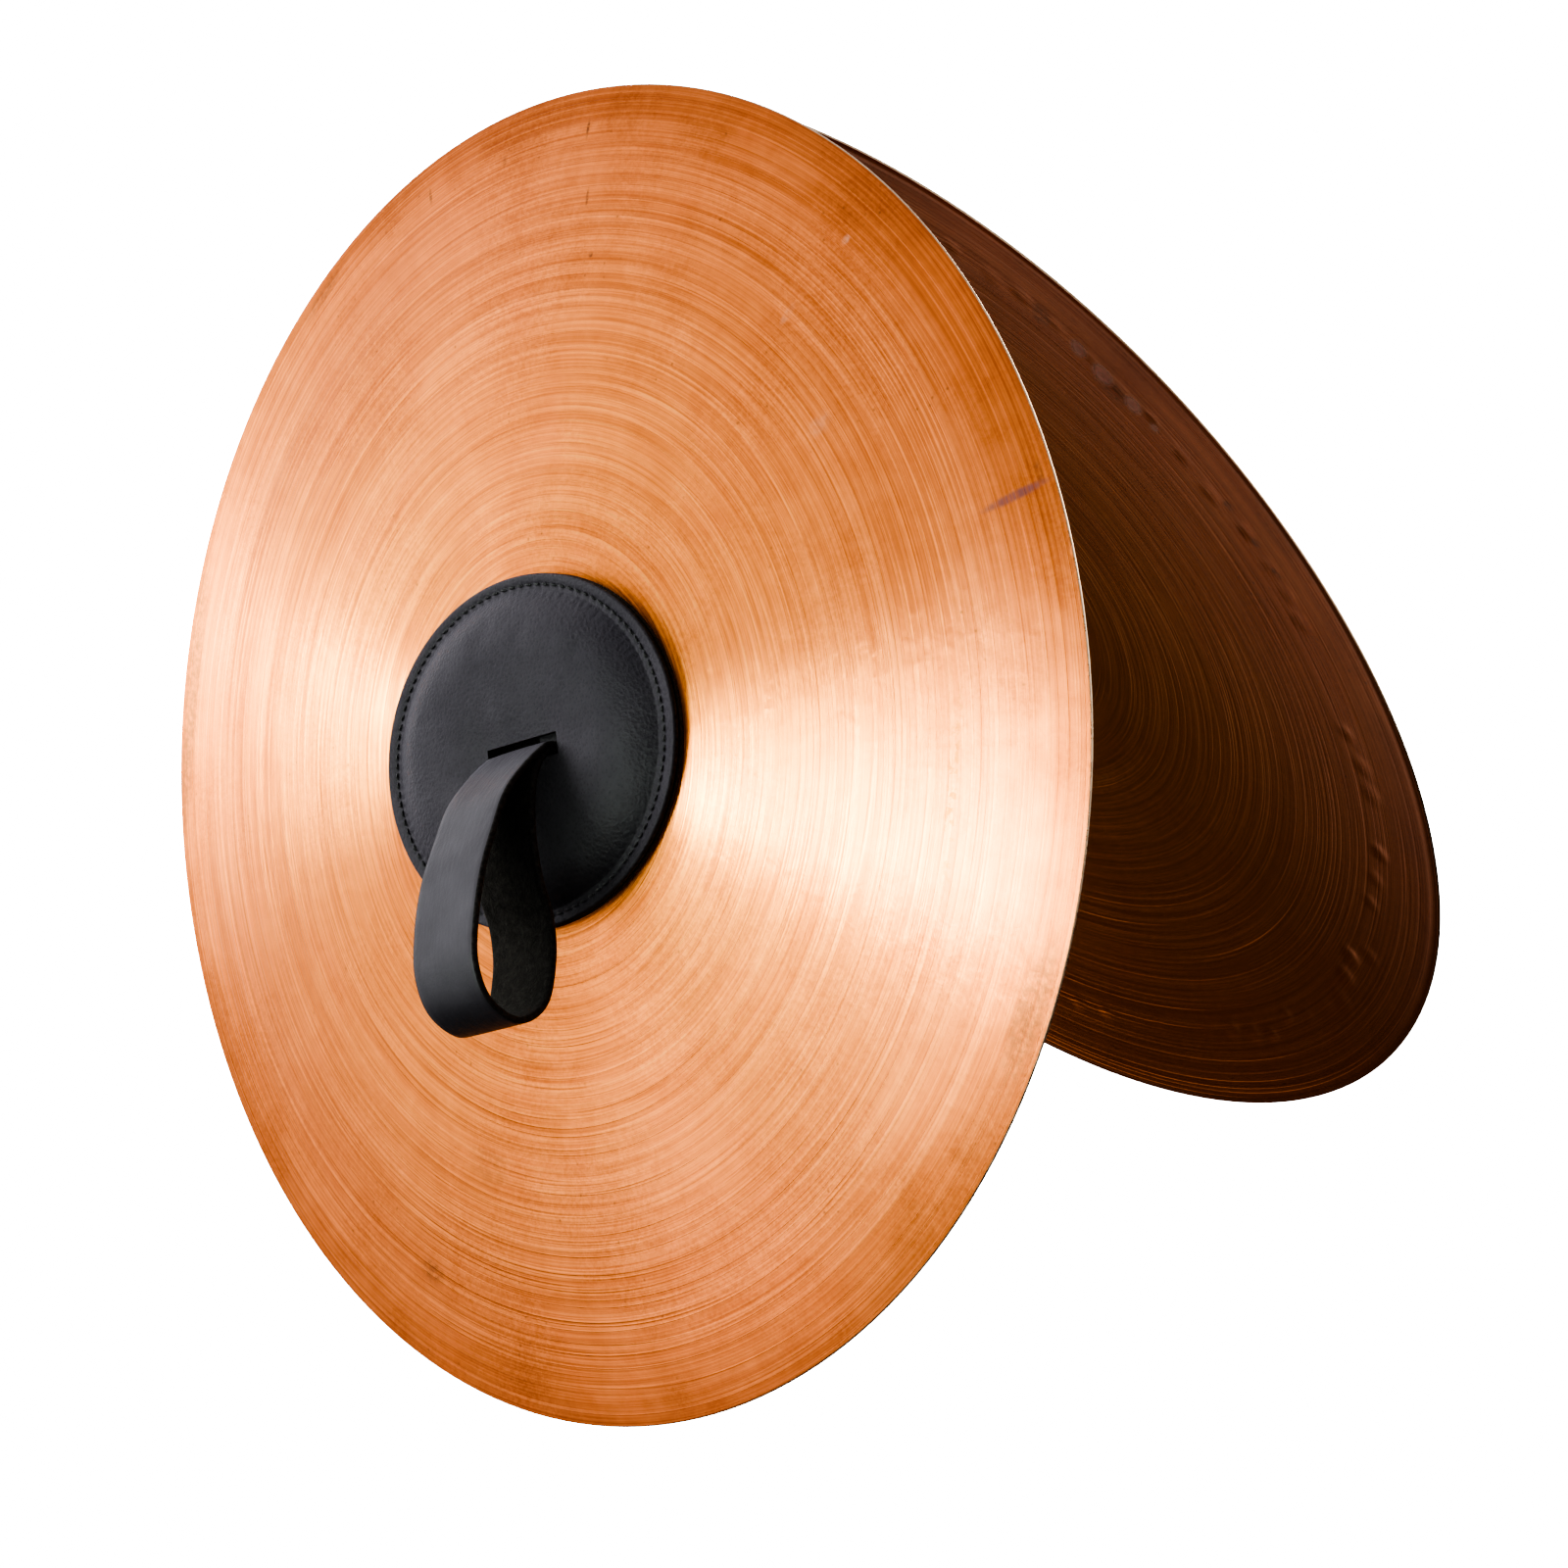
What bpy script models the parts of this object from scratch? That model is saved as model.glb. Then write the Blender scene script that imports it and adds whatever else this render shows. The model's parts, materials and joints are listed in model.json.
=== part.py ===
"""A pair of hand cymbals with padded leather hand straps, in metres, +Z up.

Each cymbal is built in its own local frame: the origin is the centre of the rim plane, +Z points out of the
domed side, and +Y points up the slope of the disc. Both cymbals stand in the playing pose, touching near the top
of their rims and open below. The rear one faces the other way, with its rim a little below the front one's. The
whole pair is placed so that the front strap's root, where the player grips, is the origin.
"""

import math

import bmesh
import bpy
from mathutils import Matrix, Vector

# Bronze discs
RIM_R = 0.190
HALF_OPENING = math.radians(20.4)
RIM_GAP = 0.0004
RIM_SLIP = 0.0022
BOW_R = 0.940
BELL_R = 0.040
BELL_RISE = 0.0064
BELL_POWER = 1.3
HOLE_R = 0.0065
RIM_THICKNESS = 0.0010
BELL_THICKNESS = 0.0013
RIM_FLAT = 0.0014
EDGE_BREAK = 0.0003

# Sewn leather hand pads: oval at the edge, round at the middle, and leaning towards one end of the slot
PAD_R = 0.050
PAD_STRETCH = 0.16
PAD_LEAN = 0.0025
FLANGE_R = 0.0455
PAD_BASE_THICKNESS = 0.0016
PAD_COVER_THICKNESS = 0.0017
PAD_CROWN = 0.0064
PAD_HOLE_R = 0.0090
FILLING_HOLE_R = 0.0170
FILLING_R = 0.0405
FLANGE_LIFT = 0.0026
LIFT_FROM_R = 0.034
SEAM_R = 0.0470
THREAD_R = 0.00045
COVER_START_R = 0.0030
SLOT_HALF_LENGTH = 0.0137
SLOT_HALF_WIDTH = 0.0034
SLOT_OFFSET = 0.0040
SEAT = 0.0003
BELL_SEAT = 0.00035

# Leather straps, and how far each pad is turned on its cymbal
STRAP_WIDTH = 0.026
STRAP_THICKNESS = 0.0020
ROOT_R = 0.0025
ROOT_HEIGHT = 0.0324
ROOT_LENGTH = 0.0256
PAD_TURN = {"front": math.radians(25.0), "rear": math.radians(8.0)}

# The loop's middle line, millimetres: first along the pad towards the slot's upper side, then out from it
STRAP_ROUTE_MM = (
    (0.3, 1.5),
    (-6.0, 9.0),
    (-15.0, 17.3),
    (-25.0, 23.6),
    (-36.0, 29.3),
    (-50.0, 34.0),
    (-62.0, 36.0),
    (-72.5, 32.5),
    (-78.3, 22.5),
    (-74.0, 12.2),
    (-62.0, 7.2),
    (-50.0, 6.4),
    (-39.0, 8.6),
    (-28.0, 9.2),
    (-17.0, 8.0),
    (-8.0, 5.2),
    (-1.7, -0.2),
)

# Knot of four thongs inside the bell
THONG_WIDTH = 0.0100
THONG_THICKNESS = 0.0019
THONG_OFFSET = 0.0080
THONG_LENGTH = 0.0340
THONG_STEP = 0.00125
KNOT_HEIGHT = 0.0196

DISC_STEPS = 64
PAD_STEPS = 28
THREAD_SIDES = 5
BOW_SPANS = 5
BELL_SPANS = 5
ROUTE_SPANS = 3

BRONZE = ("bronze", (0.80, 0.42, 0.20), 0.30, 1.0)
PAD_LEATHER = ("pad_leather", (0.05, 0.05, 0.06), 0.45, 0.0)
STRAP_LEATHER = ("strap_leather", (0.04, 0.04, 0.045), 0.50, 0.0)
FELT = ("felt", (0.45, 0.43, 0.40), 0.95, 0.0)
THREAD = ("thread", (0.07, 0.07, 0.08), 0.60, 0.0)


def clear_scene():
    for obj in list(bpy.data.objects):
        bpy.data.objects.remove(obj)


def material(spec):
    name, colour, roughness, metallic = spec
    found = bpy.data.materials.get(name)
    if found:
        return found
    made = bpy.data.materials.new(name)
    made.use_nodes = True
    shader = made.node_tree.nodes["Principled BSDF"]
    shader.inputs["Base Color"].default_value = (*colour, 1.0)
    shader.inputs["Roughness"].default_value = roughness
    shader.inputs["Metallic"].default_value = metallic
    return made


def empty(name, parent, location=(0, 0, 0), rotation=(0, 0, 0)):
    made = bpy.data.objects.new(name, None)
    bpy.context.scene.collection.objects.link(made)
    made.parent = parent
    made.location = location
    made.rotation_euler = rotation
    return made


def add_object(name, bm, parent, spec, smooth=True):
    bmesh.ops.recalc_face_normals(bm, faces=bm.faces)
    mesh = bpy.data.meshes.new(name)
    bm.to_mesh(mesh)
    bm.free()
    mesh.materials.append(material(spec))
    if smooth:
        mesh.shade_smooth()
        mesh.set_sharp_from_angle(angle=math.radians(35))
    obj = bpy.data.objects.new(name, mesh)
    bpy.context.scene.collection.objects.link(obj)
    obj.parent = parent
    return obj


def swept(ring_at, steps):
    """A solid ring round the local Z axis: ring_at(angle) gives the closed outline's points at each step."""
    bm = bmesh.new()
    rings = []
    for step in range(steps):
        rings.append([bm.verts.new(point) for point in ring_at(2 * math.pi * step / steps)])
    count = len(rings[0])
    for step in range(steps):
        here, following = rings[step], rings[(step + 1) % steps]
        for i in range(count):
            j = (i + 1) % count
            bm.faces.new((here[i], following[i], following[j], here[j]))
    return bm


def turned(outline, steps):
    """A closed outline of (radius, height) points turned round the local Z axis."""
    return swept(lambda angle: [(r * math.cos(angle), r * math.sin(angle), z) for r, z in outline], steps)


def box(low, high):
    bm = bmesh.new()
    size = Vector(high) - Vector(low)
    centre = (Vector(high) + Vector(low)) / 2
    bmesh.ops.create_cube(bm, size=1.0, matrix=Matrix.Translation(centre) @ Matrix.Diagonal((*size, 1.0)))
    return bm


def lofted(sections):
    """A closed solid through rings of points that all have the same count."""
    bm = bmesh.new()
    rings = [[bm.verts.new(point) for point in section] for section in sections]
    count = len(rings[0])
    for here, following in zip(rings, rings[1:]):
        for i in range(count):
            j = (i + 1) % count
            bm.faces.new((here[i], here[j], following[j], following[i]))
    bm.faces.new(rings[0])
    bm.faces.new(rings[-1])
    return bm


def spaced(low, high, spans):
    return [low + (high - low) * i / spans for i in range(spans + 1)]


def bow_height(r):
    """The domed surface of the disc, without its bell, over the rim plane."""
    return RIM_THICKNESS + math.sqrt(BOW_R**2 - r**2) - math.sqrt(BOW_R**2 - RIM_R**2)


def outer_height(r):
    if r >= BELL_R:
        return bow_height(r)
    swell = 0.5 * (1 + math.cos(math.pi * (r / BELL_R) ** BELL_POWER))
    return bow_height(r) + BELL_RISE * swell


def inner_height(r):
    thickness = BELL_THICKNESS + (RIM_THICKNESS - BELL_THICKNESS) * r / RIM_R
    return outer_height(r) - thickness


def cymbal_outline():
    radii = spaced(HOLE_R, BELL_R, BELL_SPANS) + spaced(BELL_R, RIM_R - RIM_FLAT, BOW_SPANS)[1:]
    outside = [(r, outer_height(r)) for r in radii]
    edge = [(RIM_R - EDGE_BREAK, RIM_THICKNESS), (RIM_R, RIM_THICKNESS - EDGE_BREAK), (RIM_R, 0.0)]
    flat = [(RIM_R - RIM_FLAT, 0.0)]
    inside = [(r, inner_height(r)) for r in reversed(radii[:-1])]
    return outside + edge + flat + inside


def pad_point(r, angle, height):
    """A point of the pad: the outline is stretched along the slot, more and more towards the edge."""
    stretch = 1 + PAD_STRETCH * (r / PAD_R) ** 2
    return Vector((r * stretch * math.cos(angle), r * math.sin(angle), height))


def base_underside(r, angle):
    """The lower leather lies on the bell, then lifts off the bow, more at one end of the slot."""
    within = min(r, FLANGE_R)
    share = max(0.0, (within - LIFT_FROM_R) / (FLANGE_R - LIFT_FROM_R))
    lift = (FLANGE_LIFT - PAD_LEAN * math.cos(angle)) * share * share * (3 - 2 * share)
    on_disc = pad_point(within, angle, 0).length
    return outer_height(on_disc) + BELL_SEAT + lift


def base_top(r, angle):
    return base_underside(r, angle) + PAD_BASE_THICKNESS


def flange_underside(angle):
    return base_top(FLANGE_R, angle) + SEAT


def cover_underside(r, angle):
    """The upper leather: a flange at the seam, a round shoulder, and a nearly flat crown."""
    if r >= FLANGE_R:
        return flange_underside(angle)
    level = flange_underside(math.pi / 2)
    share = 1 - (r / FLANGE_R) ** 2
    crown = PAD_CROWN * share**0.42 * (1.04 - 0.10 * share)
    return level + (flange_underside(angle) - level) * r / FLANGE_R + crown


def cover_top(r, angle):
    return cover_underside(r, angle) + PAD_COVER_THICKNESS


def shell(lower, upper, radii, steps):
    """A closed solid between two surfaces of the pad, with a hole at the first radius."""

    def ring_at(angle):
        top = [pad_point(r, angle, upper(r, angle)) for r in radii]
        return top + [pad_point(r, angle, lower(r, angle)) for r in reversed(radii)]

    return swept(ring_at, steps)


def pad_base(side, grip):
    radii = [PAD_HOLE_R, 0.016, 0.024, 0.031, 0.035, 0.038, 0.041, FLANGE_R, PAD_R]
    add_object(f"{side}_pad_base", shell(base_underside, base_top, radii, PAD_STEPS), grip, PAD_LEATHER)


def pad_filling(side, grip):
    radii = spaced(FILLING_HOLE_R, FILLING_R, 5)

    def lower(r, angle):
        return base_top(r, angle) + SEAT

    def upper(r, angle):
        return cover_underside(r, angle) - SEAT

    add_object(f"{side}_pad_filling", shell(lower, upper, radii, PAD_STEPS), grip, FELT)


def seam_thread(side, grip):
    """One ring of thread that stands for the row of stitches round the flange."""

    def ring_at(angle):
        height = cover_top(SEAM_R, angle) + SEAT + THREAD_R
        turns = [2 * math.pi * i / THREAD_SIDES for i in range(THREAD_SIDES)]
        return [
            pad_point(SEAM_R + THREAD_R * math.cos(a), angle, height + THREAD_R * math.sin(a))
            for a in turns
        ]

    add_object(f"{side}_seam_thread", swept(ring_at, PAD_STEPS), grip, THREAD)


def pad_cover(side, grip):
    """The crowned upper leather. Its slot is longer than the small hole at the middle that it starts from."""
    radii = [COVER_START_R, 0.010, 0.020, 0.028, 0.034, 0.038, 0.041, 0.0432, 0.0446, FLANGE_R, PAD_R]
    bm = shell(cover_underside, cover_top, radii, PAD_STEPS)
    cover = add_object(f"{side}_pad_cover", bm, grip, PAD_LEATHER)
    low = (SLOT_OFFSET - SLOT_HALF_LENGTH, -SLOT_HALF_WIDTH, 0.020)
    high = (SLOT_OFFSET + SLOT_HALF_LENGTH, SLOT_HALF_WIDTH, 0.040)
    cutter = add_object(f"{side}_slot_cutter", box(low, high), grip, PAD_LEATHER, smooth=False)
    cutter.hide_render = True
    cutter.display_type = "WIRE"
    cut = cover.modifiers.new("slot", "BOOLEAN")
    cut.operation = "DIFFERENCE"
    cut.object = cutter
    return cover


def strap_neck(side, grip):
    """The strap's two ends pressed together, narrowing to the four thongs that pass through the bell's hole."""
    sections = []
    for height, centre, half_u, half_v in (
        (0.0295, SLOT_OFFSET, 0.0124, 0.0022),
        (0.0287, 0.0004, 0.0076, 0.0029),
        (0.0270, 0.0, 0.0043, 0.0039),
        (0.0225, 0.0, 0.0043, 0.0039),
    ):
        corners = ((-half_u, -half_v), (half_u, -half_v), (half_u, half_v), (-half_u, half_v))
        sections.append([(centre + u, v, height) for u, v in corners])
    add_object(f"{side}_strap_neck", lofted(sections), grip, STRAP_LEATHER, smooth=False)


def smooth_route(points, spans):
    """A Catmull-Rom curve through the points, with the given number of spans between each two."""
    padded = [2 * points[0] - points[1], *points, 2 * points[-1] - points[-2]]
    route = []
    for a, b, c, d in zip(padded, padded[1:], padded[2:], padded[3:]):
        for i in range(spans):
            t = i / spans
            bend = (2 * a - 5 * b + 4 * c - d) * t * t + (3 * b - a - 3 * c + d) * t**3
            route.append(0.5 * (2 * b + (c - a) * t + bend))
    return route + [points[-1]]


def strap_loop(side, strap):
    """The hand loop: one band of leather whose two ends meet in a rounded root on the swing axis."""
    route = smooth_route([Vector(p) * 0.001 for p in STRAP_ROUTE_MM], ROUTE_SPANS)
    sections = []
    for i, point in enumerate(route):
        along = (route[min(i + 1, len(route) - 1)] - route[max(i - 1, 0)]).normalized()
        across = Vector((-along.y, along.x)) * STRAP_THICKNESS / 2
        ring = []
        for u, offset in ((-1, across), (1, across), (1, -across), (-1, -across)):
            v, w = point + offset
            ring.append((u * STRAP_WIDTH / 2, v, w))
        sections.append(ring)
    band = add_object(f"{side}_strap_loop", lofted(sections), strap, STRAP_LEATHER)
    bm = bmesh.new()
    lie_along_u = Matrix.Rotation(math.pi / 2, 4, "Y")
    bmesh.ops.create_cone(
        bm, cap_ends=True, segments=20, radius1=ROOT_R, radius2=ROOT_R, depth=ROOT_LENGTH, matrix=lie_along_u
    )
    root = add_object(f"{side}_strap_root_tool", bm, strap, STRAP_LEATHER)
    root.hide_render = True
    root.display_type = "WIRE"
    join = band.modifiers.new("root", "BOOLEAN")
    join.operation = "UNION"
    join.object = root
    return band


def knot(side, grip):
    """Four thongs laid in a square under the bell, each over one neighbour and under the other."""
    half = THONG_LENGTH / 2
    flat_from = THONG_OFFSET - THONG_WIDTH / 2
    route = ((-half, THONG_STEP), (-flat_from, THONG_STEP), (flat_from, -THONG_STEP), (half, -THONG_STEP))
    for quarter in range(4):
        turn = Matrix.Rotation(quarter * math.pi / 2, 4, "Z")
        sections = []
        for along, height in route:
            ring = []
            for across, up in ((-1, -1), (1, -1), (1, 1), (-1, 1)):
                y = THONG_OFFSET + across * THONG_WIDTH / 2
                z = KNOT_HEIGHT + height + up * THONG_THICKNESS / 2
                ring.append(turn @ Vector((along, y, z)))
            sections.append(ring)
        name = f"{side}_knot_thong_{quarter + 1}"
        add_object(name, lofted(sections), grip, STRAP_LEATHER, smooth=False)


def hand_cymbal(side, parent, location, rotation):
    """One cymbal with its pad, strap and knot, on empties that sit on its joints' axes."""
    disc = empty(f"{side}_disc_frame", parent, location, rotation)
    add_object(f"{side}_cymbal", turned(cymbal_outline(), DISC_STEPS), disc, BRONZE)
    grip = empty(f"{side}_grip_axis", disc, rotation=(0, 0, PAD_TURN[side]))
    pad_base(side, grip)
    pad_filling(side, grip)
    pad_cover(side, grip)
    seam_thread(side, grip)
    strap_neck(side, grip)
    knot(side, grip)
    strap = empty(f"{side}_strap_axis", grip, (SLOT_OFFSET, 0, ROOT_HEIGHT))
    strap_loop(side, strap)


def disc_centre(side):
    """Centre of a rim plane, from the hinge line where the rear rim meets the front disc, RIM_SLIP below its top."""
    reach = RIM_R - RIM_SLIP if side == "front" else RIM_R
    back = reach * math.sin(HALF_OPENING) + RIM_GAP / 2
    return Vector((0, -back if side == "front" else back, -reach * math.cos(HALF_OPENING)))


def main():
    clear_scene()
    tilt = math.pi / 2 - HALF_OPENING
    turn = PAD_TURN["front"]
    root_in_disc = Vector((SLOT_OFFSET * math.cos(turn), SLOT_OFFSET * math.sin(turn), ROOT_HEIGHT))
    grip_point = disc_centre("front") + Matrix.Rotation(tilt, 3, "X") @ root_in_disc
    clap_axis = empty("clap_axis", None, -grip_point)
    hand_cymbal("front", clap_axis, disc_centre("front"), (tilt, 0, 0))
    hand_cymbal("rear", clap_axis, disc_centre("rear"), (tilt, 0, math.pi))


main()
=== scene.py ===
import json
import math

import bmesh
import bpy
import numpy as np
from mathutils import Matrix, Vector

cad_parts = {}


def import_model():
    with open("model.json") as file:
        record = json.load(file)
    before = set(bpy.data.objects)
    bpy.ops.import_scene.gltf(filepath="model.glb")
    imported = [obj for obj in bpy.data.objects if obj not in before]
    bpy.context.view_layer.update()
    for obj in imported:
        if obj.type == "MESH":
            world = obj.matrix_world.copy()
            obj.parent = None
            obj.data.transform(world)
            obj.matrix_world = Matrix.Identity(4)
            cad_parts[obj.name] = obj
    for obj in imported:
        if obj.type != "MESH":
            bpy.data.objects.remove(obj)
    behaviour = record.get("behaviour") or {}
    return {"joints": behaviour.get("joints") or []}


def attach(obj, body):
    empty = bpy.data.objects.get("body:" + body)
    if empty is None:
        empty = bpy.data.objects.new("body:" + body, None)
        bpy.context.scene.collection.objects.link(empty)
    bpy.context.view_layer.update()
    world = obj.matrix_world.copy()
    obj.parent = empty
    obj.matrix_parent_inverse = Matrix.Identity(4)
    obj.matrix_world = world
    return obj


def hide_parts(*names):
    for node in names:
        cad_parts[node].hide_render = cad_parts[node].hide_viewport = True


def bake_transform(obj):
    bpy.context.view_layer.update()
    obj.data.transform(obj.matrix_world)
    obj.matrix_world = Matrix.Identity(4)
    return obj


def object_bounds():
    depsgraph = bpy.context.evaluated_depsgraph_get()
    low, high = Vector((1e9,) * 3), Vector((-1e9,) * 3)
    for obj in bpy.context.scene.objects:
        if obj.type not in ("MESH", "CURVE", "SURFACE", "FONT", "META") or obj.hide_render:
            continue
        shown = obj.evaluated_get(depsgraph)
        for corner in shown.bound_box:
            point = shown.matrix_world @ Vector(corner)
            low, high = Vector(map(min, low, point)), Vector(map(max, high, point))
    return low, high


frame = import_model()

# Looks of a pair of hand cymbals, in metres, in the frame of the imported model. Each piece is modelled in the
# local frame of its joint: a disc's or a pad's origin is the centre of the rim plane with +Z out of the domed
# side, and a strap's is its root with +X along the slot. The vertices are then moved into the shared frame.

CAD_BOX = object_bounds()
JOINTS = {joint["name"]: joint for joint in frame["joints"]}
SIDES = ("front", "rear")

# Bronze discs
RIM_R = 0.190
BOW_R = 0.940
BELL_R = 0.040
BELL_RISE = 0.0064
BELL_POWER = 1.3
HOLE_R = 0.0065
RIM_THICKNESS = 0.0010
BELL_THICKNESS = 0.0013
RIM_TURNS = (60, 25, -10, -45)
DISC_STEPS = 192
OUTER_RINGS = 318
INNER_PITCH = 0.0018
HAMMER_STEPS = 768
HAMMER_PITCH = 0.0013
HAMMER_R = 0.1655
HAMMER_BAND = 0.0075
HAMMER_DENT_R = 0.0038
HAMMER_DEPTH = 0.00036
GROOVE_SIZE = 0.000020
# The rear disc reads its noise elsewhere, and the two faces turned away have turned marks
REAR_PATTERN_SHIFT = 5.3
OTHER_MARKS_TURN = 137
# Marks on the bronze: mm from the centre, degrees round from +X, mm outwards and mm across, and then strength
SCUFF = (177.5, 35.6, 27, 3.6)
PIT_CHAIN = (148.6, 9, 5.0, 78)
DARK_MARKS = (
    (178.5, 104.4, 9, 1.6, 0.9), (158.0, 103.0, 7, 1.6, 0.8),
    (179.5, 127.0, 8, 1.8, 0.7), (176.0, 116.0, 5, 2.4, 0.6),
    (141.0, 101.0, 2.2, 2.2, 1.0), (162.0, 262.0, 10, 14, 0.5),
    (121.0, 270.0, 16, 24, 0.25), (185.0, 145.0, 6, 26, 0.5),
    # The two long marks along the rim at 187 and 352 degrees are painted shade that dims the rim's highlight
    # there.
    (184.0, 187.0, 14, 125, 0.75), (184.0, 352.0, 14, 62, 0.6),
    (186.0, 36.6, 4, 9, 0.5),
)
# Painted highlights on the hollow side: pale, mostly non-metallic spots on dents, standing in for the light
# those dents catch.
DENT_HIGHLIGHTS = (
    (165.0, 131.8, 10.0, 7.5, 0.9), (163.0, 135.1, 12.5, 9.5, 1.0),
    (163.0, 139.2, 10.5, 8.0, 0.9), (163.0, 142.2, 5.5, 4.0, 0.7),
)
# Painted shade on the hollow side: darker spots on other dents, standing in for dents turned away from the
# light.
DENT_SHADE = (
    (166.0, 127.0, 14, 9, 0.5), (160.0, 137.0, 16, 14, 0.4),
    (168.0, 152.2, 5.5, 5.0, 0.6), (168.0, 156.5, 5.5, 5.0, 0.7),
    (168.0, 160.1, 5.5, 5.0, 0.5),
)
PALE_MARKS = (
    (172.0, 67.0, 4, 3, 0.5),
    (146.0, 68.0, 9, 3.5, 0.25),
    (133.0, 55.0, 12, 8, 0.2),
)

# Pads
PAD_R = 0.050
PAD_STRETCH = 0.16
PAD_LEAN = 0.0025
FLANGE_R = 0.0455
PAD_BASE_THICKNESS = 0.0016
PAD_COVER_THICKNESS = 0.0017
PAD_CROWN = 0.0064
PAD_HOLE_R = 0.0090
FILLING_HOLE_R = 0.0170
FILLING_R = 0.0405
FLANGE_LIFT = 0.0026
LIFT_FROM_R = 0.034
SEAM_R = 0.0470
SLOT_OFFSET = 0.0040
SLOT_HALF_LENGTH = 0.0136
SLOT_HALF_WIDTH = 0.0031
SLOT_SHIFT = (-0.0003, -0.0007)
SLOT_LINING = 0.0035
SEAT = 0.0003
BELL_SEAT = 0.00035
FELT_GAP = 0.0012
SHOULDER_WIDTH = 0.014
SHOULDER_RISE = 0.0048
CROWN_RISE = 0.0011
# Rounded edges of the two leathers from top to bottom: metres in from the edge and share of the thickness
COVER_EDGE = ((0.0004, 0.94), (0.0001, 0.78), (0.0, 0.55), (0.0, 0.25), (0.0002, 0.05), (0.0007, 0.0))
BASE_EDGE = ((0.0006, 1.0), (0.0001, 0.9), (0.0, 0.7), (0.0, 0.3), (0.0001, 0.1), (0.0006, 0.0))
BASE_RADII = (0.013, 0.017, 0.021, 0.025, 0.029, 0.032, 0.035, 0.0375, 0.040, 0.0425, 0.045, 0.047)
STITCHES = 104
STITCH_R = 0.00038
PAD_STEPS = 4 * STITCHES

# Cloth simulation of the pad's leather: its grid, its frames and the most that it may rise
SIM_STEPS = 96
SIM_SHARES = np.linspace(0, 1, 26)
SIM_FRAMES = 20
SIM_CAP = 0.0009
SIM_SETTINGS = {
    "quality": 6, "mass": 0.5, "vertex_group_mass": "held", "use_pressure": True,
    "tension_stiffness": 40, "compression_stiffness": 40, "shear_stiffness": 20, "bending_stiffness": 2,
    "uniform_pressure_force": 10,
}

# Straps
STRAP_WIDTH = 0.026
STRAP_THICKNESS = 0.0020
ROOT_HEIGHT = 0.0324
STRAP_ROUTE_MM = (
    (-0.9, -4.5), (-0.9, -1.4), (-1.7, 1.2),
    (-6.8, 8.4), (-15.0, 17.3), (-25.0, 23.6),
    (-36.0, 29.3), (-50.0, 34.0), (-62.0, 36.0),
    (-72.5, 32.5), (-78.3, 22.5), (-74.0, 12.2),
    (-62.0, 7.2), (-50.0, 6.4), (-39.0, 8.6),
    (-28.0, 9.2), (-17.0, 8.0), (-8.4, 5.0),
    (-3.7, 0.7), (-3.0, -1.4), (-2.9, -4.5),
)

# The strap's ends below the slot: height, centre along the slot, half the length and half the width
NECK_STEPS = 40
NECK_LEVELS = (
    (0.0275, SLOT_OFFSET, 0.0132, 0.0034),
    (0.0272, 0.0020, 0.0100, 0.0035),
    (0.0269, 0.0, 0.0050, 0.0036),
    (0.0255, 0.0, 0.0042, 0.0040),
    (0.0225, 0.0, 0.0042, 0.0042),
    (0.0212, 0.0, 0.0046, 0.0046),
)

# Knots. A thong's route is in shares of half its length and of its step up or down
THONG_WIDTH = 0.0100
THONG_THICKNESS = 0.0019
THONG_OFFSET = 0.0080
THONG_LENGTH = 0.0340
THONG_STEP = 0.00125
THONG_ROUTE = ((-1.0, 1.0), (-0.6, 1.0), (-0.2, 0.5), (0.2, -0.5), (0.6, -1.0), (1.0, -1.0))
KNOT_HEIGHT = 0.0196

# Camera
CAMERA_AT = (1.0026, -0.7756, 0.5173)
CAMERA_BACK = (0.6949, -0.6047, 0.3894)
CAMERA_RIGHT = (0.6798, 0.7290, -0.0814)
LENS_MM = 112.5

# Studio panels: name, direction of the top edge's middle, roll, width, height, strength, brightness from the
# top edge at 0 to the bottom at 1, tint, and the rays that don't see it
STUDIO_R = 6.0
EVEN_PROFILE = ((0.0, 1.0), (1.0, 1.0))
KEY_PROFILE = ((0.0, 1.0), (0.14, 1.0), (0.25, 0.30), (0.36, 0.14), (0.62, 0.09), (1.0, 0.03))
PANELS = (
    ("key", (0.0, -0.93, 0.305), 16, 0.76, 0.80, 31.0, KEY_PROFILE, (0.86, 1.0, 0.84), "visible_diffuse"),
    ("side", (-0.75, -0.36, 0.85), 0, 1.0, 1.0, 9.6, EVEN_PROFILE, (1, 1, 1), "visible_glossy"),
    ("back_key", (0.1, 0.93, 0.35), 0, 0.76, 0.80, 16.0, KEY_PROFILE, (1.0, 0.97, 0.92), "visible_diffuse"),
    ("back_side", (0.2, 0.85, 0.6), 0, 1.0, 1.0, 4.5, EVEN_PROFILE, (1, 1, 1), "visible_glossy"),
)
# Levels of the surroundings
WORLD_BAND = 1.16
WORLD_TOP = 0.74
WORLD_DARK = 0.062
WORLD_FILL = 0.45
# Soft glows in the surroundings: direction, reach and strength
GLOWS = (
    ((-0.25, -0.93, -0.20), 0.55, 2.0),
    ((-0.72, -0.69, 0.02), 0.35, 0.55),
    ((-0.74, 0.36, -0.52), 0.60, 0.46),
    ((0.60, 0.70, 0.30), 0.70, 3.0),
)


# -------- frames and meshes


def axes(x, y, z, origin):
    """A matrix that turns the axes to those directions and moves the origin there."""
    return Matrix.Translation(origin) @ Matrix((x, y, z)).transposed().to_4x4()


def local_frame(z_axis, y_axis, origin):
    """A matrix whose +Z and +Y are those directions, squared up."""
    z = Vector(z_axis).normalized()
    y = Vector(y_axis)
    y = (y - z * y.dot(z)).normalized()
    return axes(y.cross(z), y, z, origin)


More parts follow.
